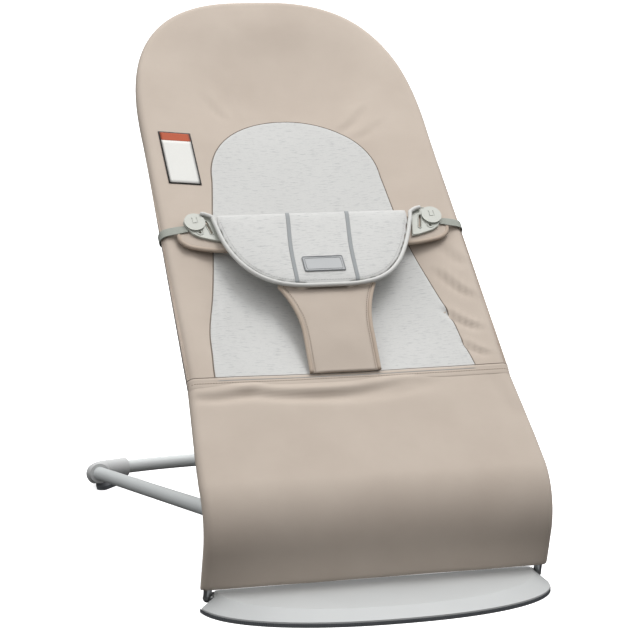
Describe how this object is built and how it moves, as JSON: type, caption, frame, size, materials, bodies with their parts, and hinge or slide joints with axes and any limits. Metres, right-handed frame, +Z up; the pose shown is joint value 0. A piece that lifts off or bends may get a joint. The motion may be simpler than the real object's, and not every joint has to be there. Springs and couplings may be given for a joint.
{
  "type": "baby bouncer seat",
  "caption": "Soft baby bouncer seat with a D-shaped front plate, sprung wire knee, reclining sling seat on a head hoop, low folding leg frame and a fold-down restraint flap.",
  "frame": {"origin": "on the floor, under the middle of the whole length and width", "axes": "+Z up, +Y from the front plate to the rear feet, +X to the seat's side that is on the right when it is looked at from the front"},
  "size_m": [0.389, 0.79, 0.6312],
  "materials": {
    "plate": "fine satin moulded plastic",
    "rubber": "ribbed rubber",
    "steel": "satin",
    "wire": "light grey powder coat",
    "black_plastic": "matt",
    "grey_plastic": "satin",
    "tube_paint": "silver grey powder coat",
    "beige_cloth": "fine woven cotton",
    "melange_jersey": "marled jersey",
    "elastic_knit": "ribbed elastic",
    "woven_tag": "satin woven tape",
    "buckle_plastic": "satin"
  },
  "bodies": {
    "base": {"base_plate": "plate", "base_tread": "rubber", "base_bottom_cover": "rubber", "base_screws": "steel", "left_hinge_bush": "black_plastic", "right_hinge_bush": "black_plastic"},
    "lower_frame": {"left_knee_spring": "wire", "right_knee_spring": "wire", "hem_rod": "wire", "knee_panel": "beige_cloth", "left_bracket_inner": "grey_plastic", "right_bracket_inner": "grey_plastic", "left_bracket_outer": "grey_plastic", "right_bracket_outer": "grey_plastic", "left_pivot_pin": "steel", "right_pivot_pin": "steel"},
    "left_recline_button": {"left_recline_button": "black_plastic"},
    "right_recline_button": {"right_recline_button": "black_plastic"},
    "leg_frame": {"left_leg_end": "grey_plastic", "right_leg_end": "grey_plastic", "left_leg_tube": "tube_paint", "right_leg_tube": "tube_paint", "rear_cross_tube": "tube_paint", "left_corner_foot": "grey_plastic", "right_corner_foot": "grey_plastic", "left_foot_pad": "rubber", "right_foot_pad": "rubber"},
    "seat": {"left_seat_arm": "grey_plastic", "right_seat_arm": "grey_plastic", "left_side_rail": "wire", "right_side_rail": "wire", "head_hoop": "wire", "left_hoop_sleeve": "black_plastic", "right_hoop_sleeve": "black_plastic", "seat_cover": "beige_cloth", "inset_panel": "melange_jersey", "lower_panel": "beige_cloth", "hem_band": "beige_cloth", "side_tag": "woven_tag", "left_elastic": "elastic_knit", "right_elastic": "elastic_knit"},
    "left_snap_button": {"left_snap_button": "steel"},
    "right_snap_button": {"right_snap_button": "steel"},
    "restraint": {"belt_pad": "melange_jersey", "pad_label": "woven_tag", "crotch_strap": "beige_cloth", "left_wing": "beige_cloth", "right_wing": "beige_cloth", "left_buckle_plate": "buckle_plastic", "right_buckle_plate": "buckle_plastic"},
    "left_toggle": {"left_toggle": "buckle_plastic"},
    "right_toggle": {"right_toggle": "buckle_plastic"}
  },
  "joints": [
    {"name": "seat_recline", "type": "hinge", "parent": "base", "child": "lower_frame", "pos_m": [0, -0.288, 0.0135], "axis": [1, 0, 0], "range_deg": [-40, 0]},
    {"name": "leg_fold", "type": "hinge", "parent": "lower_frame", "child": "leg_frame", "pos_m": [0, -0.29049, 0.10175], "axis": [1, 0, 0], "range_deg": [0, 42]},
    {"name": "seat_bounce", "type": "hinge", "parent": "lower_frame", "child": "seat", "pos_m": [0, -0.29049, 0.10175], "axis": [1, 0, 0], "range_deg": [-4, 2], "stiffness_Nm_per_rad": 170},
    {"name": "restraint_flap", "type": "hinge", "parent": "seat", "child": "restraint", "pos_m": [0, -0.20279, 0.2335], "axis": [1, 0, 0], "range_deg": [0, 120], "deforming": ["left_elastic", "right_elastic"]},
    {"name": "left_toggle_turn", "type": "hinge", "parent": "restraint", "child": "left_toggle", "pos_m": [-0.141, -0.05775, 0.38336], "axis": [0, -0.7034, 0.7108], "range_deg": [-90, 90]},
    {"name": "left_recline_press", "type": "slide", "parent": "lower_frame", "child": "left_recline_button", "axis": [-1, 0, 0], "range_m": [0, 0.003], "stiffness_N_per_m": 900},
    {"name": "left_snap_press", "type": "slide", "parent": "seat", "child": "left_snap_button", "axis": [-1, 0, 0], "range_m": [0, 0.0015], "stiffness_N_per_m": 900},
    {"name": "right_toggle_turn", "type": "hinge", "parent": "restraint", "child": "right_toggle", "pos_m": [0.141, -0.05775, 0.38336], "axis": [0, -0.7034, 0.7108], "range_deg": [-90, 90]},
    {"name": "right_recline_press", "type": "slide", "parent": "lower_frame", "child": "right_recline_button", "axis": [1, 0, 0], "range_m": [0, 0.003], "stiffness_N_per_m": 900},
    {"name": "right_snap_press", "type": "slide", "parent": "seat", "child": "right_snap_button", "axis": [1, 0, 0], "range_m": [0, 0.0015], "stiffness_N_per_m": 900}
  ],
  "couplings": [
    {"joint": "leg_fold", "follows": "seat_recline", "ratio": -1.04}
  ]
}
